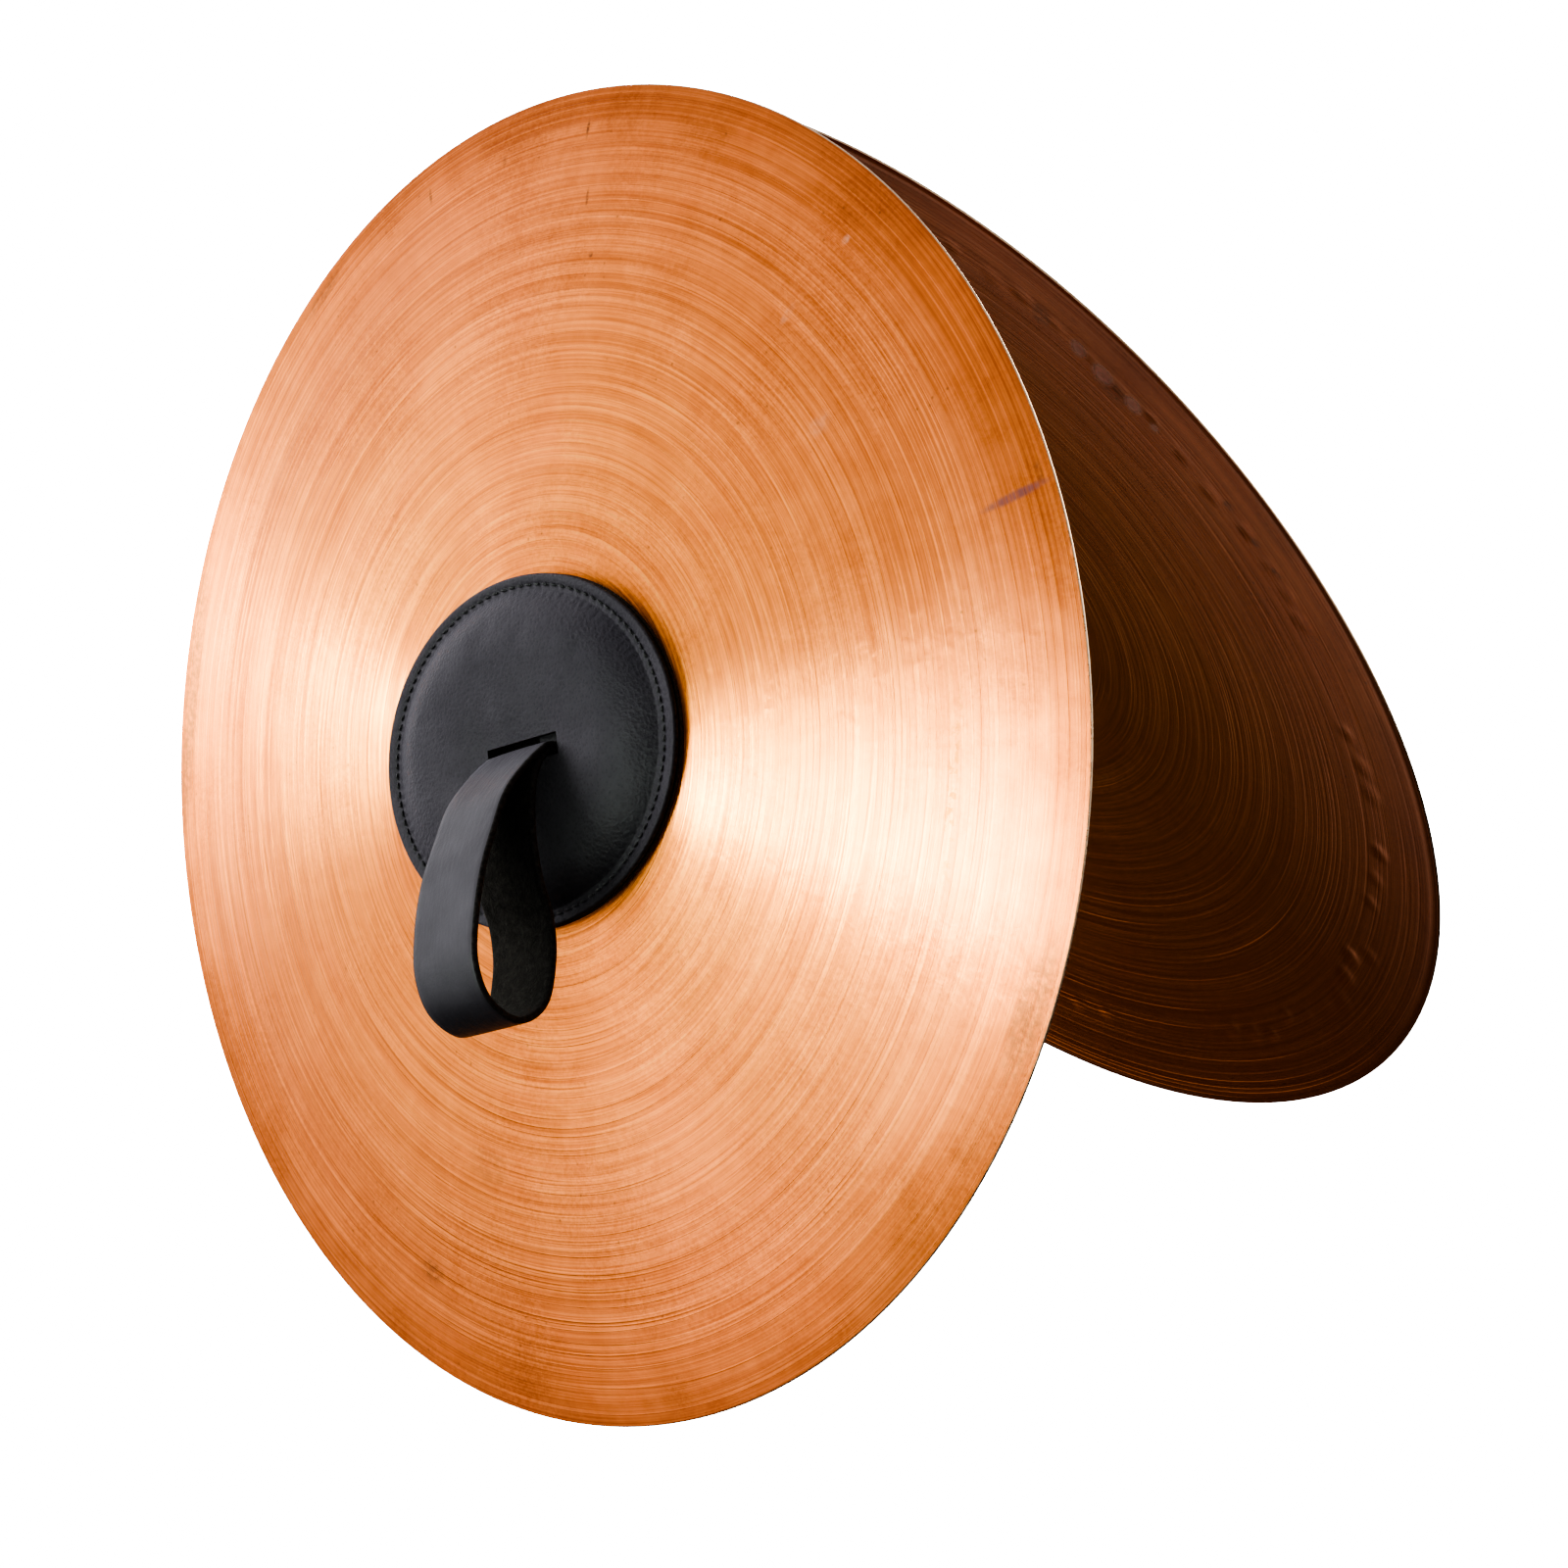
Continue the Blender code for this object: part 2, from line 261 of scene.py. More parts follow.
def disc_frame(side):
    """Centre of the rim plane; +Z out of the dome, +Y up the slope."""
    turn = JOINTS[f"{side}_grip_turn"]
    up_slope = Vector(JOINTS["pair_clap"]["pos_m"]) - Vector(turn["pos_m"])
    return local_frame(turn["axis"], up_slope, turn["pos_m"])


def strap_frame(side):
    """Root of the strap; +X along the slot, +Z out of the dome, and the loop hangs along -Y."""
    swing = JOINTS[f"{side}_strap_swing"]
    z = Vector(JOINTS[f"{side}_grip_turn"]["axis"])
    return local_frame(z, z.cross(-Vector(swing["axis"])), swing["pos_m"])


def grip_frame(side):
    """The strap's frame moved back to the disc's centre."""
    return strap_frame(side) @ Matrix.Translation((-SLOT_OFFSET, 0, -ROOT_HEIGHT))


def in_row_frame(points, matrix):
    m = np.array(matrix)
    return points @ m[:3, :3].T + m[:3, 3]


def in_scene(name, data):
    made = bpy.data.objects.new(name, data)
    bpy.context.scene.collection.objects.link(made)
    return made


def make_piece(name, points, faces, matrix, materials, face_slots=None, textured=None, sharp=40):
    """A mesh in the row frame that keeps its local coordinates, or those given, for its textures."""
    mesh = bpy.data.meshes.new(name)
    mesh.from_pydata(in_row_frame(points, matrix).tolist(), [], faces)
    for made in materials:
        mesh.materials.append(made)
    if face_slots is not None:
        mesh.polygons.foreach_set("material_index", face_slots)
    bm = bmesh.new()
    bm.from_mesh(mesh)
    bmesh.ops.recalc_face_normals(bm, faces=bm.faces)
    bm.to_mesh(mesh)
    bm.free()
    kept = mesh.attributes.new("local", "FLOAT_VECTOR", "POINT")
    kept.data.foreach_set("vector", (points if textured is None else textured).astype(np.float32).ravel())
    mesh.shade_smooth()
    mesh.set_sharp_from_angle(angle=math.radians(sharp))
    return in_scene(name, mesh)


def ring_to_ring(last, first, count):
    """Quads from the ring that starts at point number last to the one that starts at first."""
    return [(last + i, last + (i + 1) % count, first + (i + 1) % count, first + i) for i in range(count)]


def joined_rings(counts):
    """Faces between successive rings. Where one ring has several times the points, a face takes several."""
    faces, start = [], 0
    for count, following in zip(counts, counts[1:]):
        after = start + count
        few = min(count, following)
        a_span, b_span = count // few, following // few
        for i in range(few):
            a = [start + (i * a_span + k) % count for k in range(a_span + 1)]
            b = [after + (i * b_span + k) % following for k in range(b_span + 1)]
            faces.append(a + b[::-1])
        start = after
    return faces


def ring_angles(count):
    return np.arange(count) * (2 * math.pi / count)


def tube_faces(sections, sides, closed=False):
    """Quads along successive outlines of as many points each, and a cap at each end unless closed."""
    faces = []
    for i in range(sections if closed else sections - 1):
        faces += ring_to_ring(i * sides, (i + 1) % sections * sides, sides)
    if not closed:
        faces.append(list(range(sides)))
        faces.append([(sections - 1) * sides + j for j in range(sides)])
    return faces


def smoothstep(value, low, high):
    share = np.clip((value - low) / (high - low), 0, 1)
    return share * share * (3 - 2 * share)


# -------- shader nodes


class Nodes:
    """A node tree, with short calls for the nodes used here."""

    def __init__(self, tree):
        self.tree = tree

    def node(self, kind, inputs=None, **settings):
        made = self.tree.nodes.new("ShaderNode" + kind)
        for key, value in settings.items():
            setattr(made, key, value)
        for key, value in (inputs or {}).items():
            self.set(made.inputs[key], value)
        return made

    def set(self, socket, value):
        if isinstance(value, bpy.types.NodeSocket):
            self.tree.links.new(value, socket)
        else:
            socket.default_value = value

    def maths(self, operation, a, b=0.0, c=0.0):
        return self.node("Math", {0: a, 1: b, 2: c}, operation=operation).outputs[0]

    def times(self, first, *others):
        for other in others:
            first = self.maths("MULTIPLY", first, other)
        return first

    def plus(self, first, *others):
        for other in others:
            first = self.maths("ADD", first, other)
        return first

    def vector(self, operation, a, b=(0, 0, 0)):
        made = self.node("VectorMath", {0: a, 1: b}, operation=operation)
        return made.outputs["Value" if operation == "LENGTH" else "Vector"]

    def scaled(self, vector, factor):
        return self.node("VectorMath", {0: vector, 3: factor}, operation="SCALE").outputs["Vector"]

    def split(self, vector):
        return self.node("SeparateXYZ", {0: vector}).outputs

    def joined(self, x, y, z):
        return self.node("CombineXYZ", {0: x, 1: y, 2: z}).outputs[0]

    def noise(self, vector, scale, detail=2.0, rough=0.5, distortion=0.0):
        values = {"Vector": vector, "Scale": scale, "Detail": detail, "Roughness": rough}
        return self.node("TexNoise", {**values, "Distortion": distortion}).outputs[0]

    def cells(self, vector, scale, feature="F1"):
        made = self.node("TexVoronoi", {"Vector": vector, "Scale": scale}, feature=feature)
        return made.outputs["Distance"]

    def range(self, value, low, high, to_low=0.0, to_high=1.0, kind="SMOOTHSTEP"):
        values = {"Value": value, "From Min": low, "From Max": high, "To Min": to_low, "To Max": to_high}
        return self.node("MapRange", values, interpolation_type=kind).outputs["Result"]

    def mix(self, factor, a, b, blend="MIX"):
        made = self.node("Mix", data_type="RGBA", blend_type=blend)
        for index, value in ((0, factor), (6, a), (7, b)):
            self.set(made.inputs[index], value)
        return made.outputs[2]

    def bump(self, height, distance):
        return self.node("Bump", {"Height": height, "Distance": distance, "Strength": 1.0}).outputs["Normal"]


class Shader(Nodes):
    """A material with a Principled shader, whose textures use the coordinates that make_piece keeps."""

    def __init__(self, name):
        self.material = bpy.data.materials.new(name)
        self.material.use_nodes = True
        super().__init__(self.material.node_tree)
        self.principled = self.tree.nodes["Principled BSDF"]
        self.local = self.node("Attribute", attribute_name="local").outputs["Vector"]

    def surface(self, **values):
        for key, value in values.items():
            self.set(self.principled.inputs[key.replace("_", " ")], value)


def rgb(red, green, blue):
    return (red, green, blue, 1.0)


# -------- bronze


def bow_height(r):
    return RIM_THICKNESS + np.sqrt(BOW_R**2 - r**2) - math.sqrt(BOW_R**2 - RIM_R**2)


def outer_height(r):
    r = np.asarray(r, float)
    swell = 0.5 * (1 + np.cos(math.pi * np.minimum(r / BELL_R, 1) ** BELL_POWER))
    return bow_height(r) + BELL_RISE * swell


def inner_height(r):
    return outer_height(r) - BELL_THICKNESS - (RIM_THICKNESS - BELL_THICKNESS) * r / RIM_R


def lathe_relief(count, seed):
    """Heights of the tool marks from ring to ring: fine chatter on longer waves."""
    rng = np.random.default_rng(seed)
    fine = rng.normal(0, 1, count)
    waves = sum(np.sin(np.arange(count) * step + rng.uniform(0, 6)) for step in (0.61, 0.97, 1.43, 0.29)) / 2
    fade = smoothstep(np.arange(count), 0, 12) * smoothstep(np.arange(count)[::-1], 0, 10)
    return GROOVE_SIZE * (fine + 0.8 * waves) * fade


def hammer_dents(points, seed):
    """Depth of the row of round hammer marks inside the rim, loosely spaced and unequally deep."""
    rng = np.random.default_rng(seed)
    angle = np.arctan2(points[:, 1], points[:, 0]) % (2 * math.pi)
    radius = np.hypot(points[:, 0], points[:, 1])
    depth = np.zeros(len(points))
    at = 0.0
    while at < 2 * math.pi - 0.03:
        size = HAMMER_DENT_R * rng.uniform(0.75, 1.15)
        centre = HAMMER_R + rng.normal(0, 0.0016)
        around = (angle - at + math.pi) % (2 * math.pi) - math.pi
        away = np.hypot(around * radius, radius - centre) / size
        depth += HAMMER_DEPTH * rng.uniform(0.3, 1.0) * np.exp(-2.2 * away**4) * (rng.random() < 0.8)
        at += rng.uniform(0.055, 0.085)
    return depth


def disc_rings(seed):
    """Every ring's (radius, height) and point count: over the outside, round the rim and back inside."""
    outer = np.linspace(HOLE_R + 0.0003, RIM_R - 0.0007, OUTER_RINGS)
    rng = np.random.default_rng(seed)
    outer[1:-1] += rng.uniform(-0.4, 0.4, OUTER_RINGS - 2) * (outer[1] - outer[0])
    rings = list(zip(outer, outer_height(outer) + lathe_relief(OUTER_RINGS, seed + 1)))
    middle = RIM_THICKNESS / 2
    for turn in RIM_TURNS:
        lean = math.radians(turn)
        rings.append((RIM_R - middle + middle * math.cos(lean), middle + middle * math.sin(lean)))
    coarse = list(np.arange(RIM_R - 0.0016, HAMMER_R + HAMMER_BAND, -INNER_PITCH))
    band = list(np.arange(HAMMER_R + HAMMER_BAND - 0.001, HAMMER_R - HAMMER_BAND, -HAMMER_PITCH))
    within = list(np.arange(HAMMER_R - HAMMER_BAND - 0.001, HOLE_R + 0.0003, -INNER_PITCH)) + [HOLE_R]
    relief = lathe_relief(len(coarse) + len(band) + len(within), seed + 2)
    inner = np.array(coarse + band + within)
    heights = np.where(inner > RIM_R - 0.0017, 0, inner_height(inner)) + 0.8 * relief
    rings += list(zip(inner, heights))
    rings.append((HOLE_R, float(outer_height(HOLE_R)) - 0.0003))
    first_band = OUTER_RINGS + len(RIM_TURNS) + len(coarse)
    counts = [DISC_STEPS] * len(rings)
    counts[first_band : first_band + len(band)] = [HAMMER_STEPS] * len(band)
    return rings, counts


def lathe_map(mesh, points):
    """UVs whose U runs out along the radius, as the brushed highlights stretch, and V round the disc."""
    uv = mesh.uv_layers.new(name="lathe")
    around = np.arctan2(points[:, 1], points[:, 0]) / (2 * math.pi) % 1.0
    out = np.hypot(points[:, 0], points[:, 1]) / RIM_R
    corner = np.empty(len(mesh.loops), np.int32)
    mesh.loops.foreach_get("vertex_index", corner)
    sizes = np.empty(len(mesh.polygons), np.int32)
    mesh.polygons.foreach_get("loop_total", sizes)
    face = np.repeat(np.arange(len(sizes)), sizes)
    v = around[corner]
    highest = np.zeros(len(sizes))
    np.maximum.at(highest, face, v)
    v = np.where((highest[face] > 0.75) & (v < 0.25), v + 1, v)
    uv.data.foreach_set("uv", np.stack([out[corner], v], 1).astype(np.float32).ravel())


class Bronze(Shader):
    """Lathed bronze: brushed round the disc, paler in the middle and darker towards the rim, in rings and
    blotches.
    The hollow side is smoother, with fainter rings; some of its dents carry painted highlights and others
    painted shade."""

    def __init__(self, side, inside):
        super().__init__(f"{side}_bronze_inside" if inside else f"{side}_bronze_lathed")
        self.inside = inside
        self.marks_turn = 0 if (side == "rear") == inside else OTHER_MARKS_TURN
        self.own_shift = 0.0 if side == "front" else REAR_PATTERN_SHIFT
        self.place = self.vector("ADD", self.local, (self.own_shift, 0.0, 0.0))
        x, y, _ = self.split(self.local)
        self.flat = self.joined(x, y, 0.0)
        self.radius = self.vector("LENGTH", self.flat)
        self.direction = self.vector("NORMALIZE", self.flat)
        self.bands = self.ring_noise(0.5, 430.0, 1.0, 0.5, 3.0)
        self.lines = self.ring_noise(1.4, 1150.0, 2.0, 0.6)
        self.hair = self.ring_noise(3.0, 2600.0, 2.0)
        self.cloud = self.noise(self.place, 22.0, 4.0, 0.6)
        self.mottle = self.noise(self.place, 150.0, 4.0, 0.6, 0.6)
        self.weave = self.noise(self.place, 760.0, 2.0, 0.5, 0.8)
        self.pits = self.noise(self.place, 520.0, 3.0, 0.6)
        self.bright_line = self.thin_line(self.bands, 0.070)
        self.uneven = self.plus(self.radius, self.times(self.maths("SUBTRACT", self.cloud, 0.5), 0.04))

    def ring_noise(self, along, across, detail=2.0, rough=0.5, shift=0.0):
        """Noise that changes fast over the radius and slowly round the disc."""
        out = self.maths("MULTIPLY_ADD", self.radius, across, shift + 10 * self.own_shift)
        rings = self.joined(0.0, 0.0, out)
        return self.noise(self.vector("ADD", self.scaled(self.direction, along), rings), 1.0, detail, rough)

    def thin_line(self, noise, width):
        """1 along the middle value of a noise, which is a thin line on the disc."""
        return self.range(self.maths("ABSOLUTE", self.maths("SUBTRACT", noise, 0.5)), 0.0, width, 1.0, 0.0)

    def mark(self, radius_mm, degrees, length_mm, width_mm):
        """1 in a soft-edged spot that long outwards and that wide across."""
        turn = math.radians(degrees + self.marks_turn)
        middle = (radius_mm / 1000 * math.cos(turn), radius_mm / 1000 * math.sin(turn), 0.0)
        values = {"Vector": self.vector("SUBTRACT", self.flat, middle), "Angle": -turn}
        turned = self.node("VectorRotate", values, rotation_type="Z_AXIS").outputs[0]
        squared = self.vector("MULTIPLY", turned, (2000 / length_mm, 2000 / width_mm, 1.0))
        return self.range(self.vector("LENGTH", squared), 0.35, 1.0, 1.0, 0.0)

    def tone(self):
        """How light the metal is from place to place, about 1."""
        broad = self.ring_noise(0.9, 130.0, 3.0)
        cuts = self.ring_noise(0.7, 640.0, 1.0, 0.5, 7.0)
        stain = self.noise(self.place, 70.0, 5.0, 0.65, 0.4)
        woven = self.range(self.weave, 0.35, 0.65, -0.10, 0.08)
        woven = self.times(woven, self.range(self.cloud, 0.40, 0.62))
        tone = self.times(
            self.range(broad, 0.3, 0.7, 0.93, 1.03),
            self.range(self.bands, 0.3, 0.7, 0.93, 1.03),
            self.maths("MULTIPLY_ADD", self.bright_line, 0.17, 1.0),
            self.maths("MULTIPLY_ADD", self.thin_line(cuts, 0.060), -0.15, 1.0),
            self.range(self.lines, 0.34, 0.66, 0.79, 1.09),
            self.range(self.hair, 0.3, 0.7, 0.90, 1.05),
            self.range(stain, 0.25, 0.75, 0.92, 1.05),
            self.range(self.mottle, 0.3, 0.7, 0.95, 1.03),
            self.plus(1.0, woven),
        )
        return self.maths("POWER", tone, 0.45) if self.inside else tone

    def lathed_colour(self):
        """The metal's colour before its marks."""
        # Paler in the middle, darker towards the rim.
        outward_fade = self.range(self.uneven, 0.070, 0.180)
        colour = self.mix(outward_fade, rgb(0.96, 0.352, 0.104), rgb(0.76, 0.256, 0.090))
        worn_rim = self.times(self.range(self.uneven, 0.174, 0.190), 0.28)
        colour = self.mix(worn_rim, colour, rgb(0.30, 0.080, 0.034))
        ruddy = self.range(self.noise(self.place, 31.0, 4.0, 0.6, 0.5), 0.45, 0.75, 0.0, 0.35)
        colour = self.mix(ruddy, colour, rgb(0.80, 0.245, 0.085))
        tone = self.tone()
        shade = self.joined(self.maths("POWER", tone, 0.75), tone, self.maths("POWER", tone, 1.10))
        return self.mix(1.0, colour, shade, "MULTIPLY")

    def flecked(self, colour):
        """The colour with dark flecks, a scuff across the rim and a chain of pits."""
        specks = self.range(self.cells(self.place, 230.0), 0.0, 0.16, 1.0, 0.0)
        rare = self.range(self.noise(self.place, 45.0, 2.0), 0.53, 0.62)
        colour = self.mix(self.times(specks, rare, 0.6), colour, rgb(0.22, 0.085, 0.040))
        scuff = self.times(self.mark(*SCUFF), self.range(self.lines, 0.35, 0.6, 0.45, 0.95))
        colour = self.mix(scuff, colour, rgb(0.30, 0.13, 0.115))
        chain = self.times(self.mark(*PIT_CHAIN), self.range(self.pits, 0.52, 0.60), 0.75)
        return self.mix(chain, colour, rgb(0.34, 0.13, 0.035))

    def marked(self, colour):
        """The colour with this face's dark and pale marks, and how much of each place the pale ones cover. On
        the outside the two long dark marks on the rim are painted shade; on the hollow side the pale dent
        spots are painted highlights and the dark ones painted shade.
        """
        dirt_and_shade = self.range(self.pits, 0.35, 0.65, 0.2, 0.9)
        # Dark marks made patchy by a noise: real scratches and stains, and painted shade on the outer rim and
        # on the hollow side's dents.
        for *place, strength in DENT_SHADE if self.inside else DARK_MARKS:
            spot = self.times(self.mark(*place), self.times(dirt_and_shade, strength))
            colour = self.mix(spot, colour, rgb(0.20, 0.085, 0.045))
        pale_share = 0.0
        # Pale marks; on the hollow side these are painted highlights on the dents.
        for *place, strength in DENT_HIGHLIGHTS if self.inside else PALE_MARKS:
            spot = self.times(self.mark(*place), strength)
            colour = self.mix(self.times(spot, 0.9 if self.inside else dirt_and_shade), colour, rgb(0.86, 0.50, 0.34))
            pale_share = self.plus(pale_share, spot)
        return colour, pale_share

    def roughness(self):
        smooth, coarse = (0.19, 0.22) if self.inside else (0.29, 0.36)
        rough = self.plus(self.range(self.lines, 0.3, 0.7, smooth, coarse), self.times(self.cloud, 0.04))
        return self.plus(rough, self.range(self.uneven, 0.160, 0.190, 0.0, 0.02 if self.inside else 0.12))

    def normal(self):
        rings = self.plus(self.bright_line, self.lines, self.times(self.hair, 0.4))
        height = self.plus(rings, self.mottle, self.times(self.weave, 0.05))
        return self.bump(height, 0.00004 if self.inside else 0.00009)


def bronze(side, inside):
    """One face's bronze. Its highlights stretch along the radius, as on all brushed discs."""
    s = Bronze(side, inside)
    colour, pale_share = s.marked(s.flecked(s.lathed_colour()))
    tangent = s.node("Tangent", direction_type="UV_MAP", uv_map="lathe").outputs[0]
    s.surface(Base_Color=colour, Roughness=s.roughness(), Normal=s.normal(), Tangent=tangent)
    if inside:
        # Under the painted dent highlights the metal is made mostly non-metallic, so they stay pale.
        s.surface(Metallic=s.range(pale_share, 0.0, 1.0, 1.0, 0.1, "LINEAR"), Anisotropic=0.55)
    else:
        s.surface(Metallic=1.0, Anisotropic=1.0)
    return s.material


def polished_edge():
    """The rim's turned edge: bright, with fine scratches along it."""
    s = Shader("polished_bronze_edge")
    scratches = s.noise(s.local, 260.0, 3.0, 0.7)
    colour = s.mix(scratches, rgb(0.42, 0.29, 0.19), rgb(0.58, 0.43, 0.31))
    s.surface(Base_Color=colour, Metallic=1.0, Roughness=s.range(scratches, 0.3, 0.7, 0.22, 0.36))
    return s.material


def cymbal(side, materials, seed):
    rings, counts = disc_rings(seed)
    points = []
    for (radius, height), count in zip(rings, counts):
        turns = ring_angles(count)
        points.append(np.stack([radius * np.cos(turns), radius * np.sin(turns), np.full(count, height)], 1))
    inner_ring = OUTER_RINGS + len(RIM_TURNS)
    inside = np.repeat(np.arange(len(rings)) >= inner_ring, counts)
    points = np.concatenate(points)
    points[:, 2] += np.where(inside, hammer_dents(points, seed + 3), 0)
    faces = joined_rings(counts) + ring_to_ring(len(points) - DISC_STEPS, 0, DISC_STEPS)
    face_slots = np.zeros(len(faces), np.int32)
    face_slots[OUTER_RINGS * DISC_STEPS :] = 1
    face_slots[(inner_ring - 1) * DISC_STEPS :] = 2
    piece = make_piece(f"{side}_cymbal_lathed", points, faces, disc_frame(side), materials, face_slots)
    lathe_map(piece.data, points)
    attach(piece, f"{side}_disc")
    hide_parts(f"{side}_cymbal")
    return piece


# -------- leather, felt and thread


def pad_leather():
    """Blue-black grain leather: fine pores, soft creases and a satin finish."""
    s = Shader("pad_leather_grain")
    pores = s.cells(s.local, 1900.0, "SMOOTH_F1")
    warp = s.node("TexNoise", {"Vector": s.local, "Scale": 260.0}).outputs["Color"]
    pebbles = s.cells(s.vector("ADD", s.local, s.scaled(warp, 0.0012)), 900.0)
    folds = s.noise(s.local, 130.0, 5.0, 0.6, 0.8)
    worn = s.noise(s.local, 34.0, 4.0, 0.6)
    colour = s.mix(s.range(worn, 0.3, 0.75), rgb(0.046, 0.044, 0.051), rgb(0.060, 0.057, 0.065))
    colour = s.mix(s.range(pebbles, 0.0, 0.5, 0.35, 0.0), colour, rgb(0.028, 0.026, 0.030))
    rough = s.plus(s.range(folds, 0.3, 0.7, 0.34, 0.44), s.times(pores, 0.10))
    height = s.plus(s.times(pebbles, 0.7), s.times(pores, 0.4), s.times(folds, 0.8))
    s.surface(Base_Color=colour, Roughness=rough, Specular_IOR_Level=0.06, Normal=s.bump(height, 0.00016))
    return s.material


def strap_leather():
    """Smooth finished side of the strap: faint lengthwise brushing over fine grain."""
    s = Shader("strap_leather_grain")
    x, y, z = s.split(s.local)
    drawn = s.joined(s.times(x, 6.0), y, z)
    brushing = s.noise(drawn, 170.0, 4.0, 0.6)
    grain = s.noise(s.local, 900.0, 4.0, 0.6)
    tone = s.noise(s.local, 45.0, 3.0, 0.5)
    colour = s.mix(s.range(tone, 0.3, 0.7), rgb(0.052, 0.050, 0.057), rgb(0.068, 0.066, 0.074))
    rough = s.range(brushing, 0.3, 0.7, 0.40, 0.54)
    height = s.plus(s.times(brushing, 0.8), grain)
    s.surface(Base_Color=colour, Roughness=rough, Specular_IOR_Level=0.10, Normal=s.bump(height, 0.00008))
    return s.material


def flesh_leather():
    """Rough flesh side: matted fibres with paler flecks."""
    s = Shader("strap_leather_flesh")
    fibres = s.noise(s.local, 1100.0, 6.0, 0.75, 1.2)
    clumps = s.noise(s.local, 330.0, 5.0, 0.65, 0.6)
    shade = s.times(s.range(fibres, 0.3, 0.72), s.range(clumps, 0.36, 0.64, 0.30, 1.0))
    colour = s.mix(shade, rgb(0.012, 0.011, 0.009), rgb(0.046, 0.043, 0.037))
    s.surface(Base_Color=colour, Roughness=0.95, Specular_IOR_Level=0.05, Sheen_Weight=0.08)
    s.surface(Normal=s.bump(s.plus(fibres, s.times(clumps, 1.6)), 0.0005))
    return s.material


def cut_leather():
    """Dyed cut edge, with the hide's fibres showing."""
    s = Shader("leather_cut_edge")
    fibres = s.noise(s.local, 800.0, 5.0, 0.7)
    colour = s.mix(s.range(fibres, 0.3, 0.7), rgb(0.022, 0.021, 0.021), rgb(0.050, 0.047, 0.044))
    s.surface(Base_Color=colour, Roughness=0.8, Specular_IOR_Level=0.08, Normal=s.bump(fibres, 0.0002))
    return s.material


def felt():
    s = Shader("wool_felt")
    fibres = s.noise(s.local, 700.0, 6.0, 0.75, 1.5)
    colour = s.mix(s.range(fibres, 0.3, 0.7), rgb(0.40, 0.37, 0.33), rgb(0.58, 0.55, 0.50))
    s.surface(Base_Color=colour, Roughness=1.0, Specular_IOR_Level=0.1, Sheen_Weight=0.5)
    s.surface(Normal=s.bump(fibres, 0.0006))
    return s.material


def waxed_thread():
    """Twisted thread with fine ply lines."""
    s = Shader("waxed_thread")
    ply = s.maths("SINE", s.times(s.split(s.local)["X"], 14000.0))
    tone = s.noise(s.local, 1500.0, 2.0)
    colour = s.mix(tone, rgb(0.016, 0.015, 0.018), rgb(0.032, 0.030, 0.034))
    s.surface(Base_Color=colour, Roughness=0.7, Specular_IOR_Level=0.5, Normal=s.bump(ply, 0.00006))
    return s.material


# -------- pads


def on_pad(r, angle):
    """Plan position on the pad: the outline is stretched along the slot, more and more towards the edge."""
    stretch = 1 + PAD_STRETCH * (r / PAD_R) ** 2
    return r * stretch * np.cos(angle), r * np.sin(angle)


def pad_polar(u, v):
    """The radius and angle that on_pad takes to that plan position."""
    r = np.hypot(u, v)
    for _ in range(30):
        r = np.hypot(u / (1 + PAD_STRETCH * (r / PAD_R) ** 2), v)
    return r, np.arctan2(v, u / (1 + PAD_STRETCH * (r / PAD_R) ** 2))


def base_underside(r, angle):
    within = np.minimum(r, FLANGE_R)
    lift = (FLANGE_LIFT - PAD_LEAN * np.cos(angle)) * smoothstep(within, LIFT_FROM_R, FLANGE_R)
    return outer_height(np.hypot(*on_pad(within, angle))) + BELL_SEAT + lift


def base_top(r, angle):
    return base_underside(r, angle) + PAD_BASE_THICKNESS


def flange_underside(angle):
    return base_top(np.full_like(angle, FLANGE_R), angle) + SEAT


def cover_rim(r, angle):
    """The flange's height, levelled out towards the middle."""
    level = flange_underside(np.array([math.pi / 2]))[0]
    return level + (flange_underside(angle) - level) * np.minimum(r / FLANGE_R, 1)


def cover_underside(r, angle):
    share = np.maximum(1 - (r / FLANGE_R) ** 2, 0)
    crown = PAD_CROWN * share**0.42 * (1.04 - 0.10 * share)
    return np.where(r >= FLANGE_R, flange_underside(angle), cover_rim(r, angle) + crown)


def slot_outline(angle, half_length, half_width):
    """A point of the square-ended slit for each direction from its middle. The corners lie at 37 degrees."""
    u = np.clip(np.cos(angle) / 0.8, -1, 1) * half_length
    v = np.clip(np.sin(angle) / 0.6, -1, 1) * half_width
    return SLOT_OFFSET + SLOT_SHIFT[0] + u, SLOT_SHIFT[1] + v


def pad_plan(share, angles):
    """Plan positions from the slot's edge at share 0 to the pad's edge at share 1."""
    inner_u, inner_v = slot_outline(angles, SLOT_HALF_LENGTH, SLOT_HALF_WIDTH)
    outer_u, outer_v = on_pad(PAD_R, angles)
    return inner_u * (1 - share) + outer_u * share, inner_v * (1 - share) + outer_v * share


def sewn_sheet(name, points, held_points):
    """The cover's leather as one sheet of cloth under pressure, with some of its points held."""
    mesh = bpy.data.meshes.new(name)
    facing_out = [face[::-1] for face in joined_rings([SIM_STEPS] * len(SIM_SHARES))]
    mesh.from_pydata(points.tolist(), [], facing_out)
    sheet = in_scene(name, mesh)
    sheet.vertex_groups.new(name="held").add(held_points.tolist(), 1.0, "REPLACE")
    cloth = sheet.modifiers.new("leather", "CLOTH")
    for key, value in SIM_SETTINGS.items():
        setattr(cloth.settings, key, value)
    cloth.settings.effector_weights.gravity = 0
    cloth.point_cache.frame_start = 1
    cloth.point_cache.frame_end = SIM_FRAMES
    return sheet


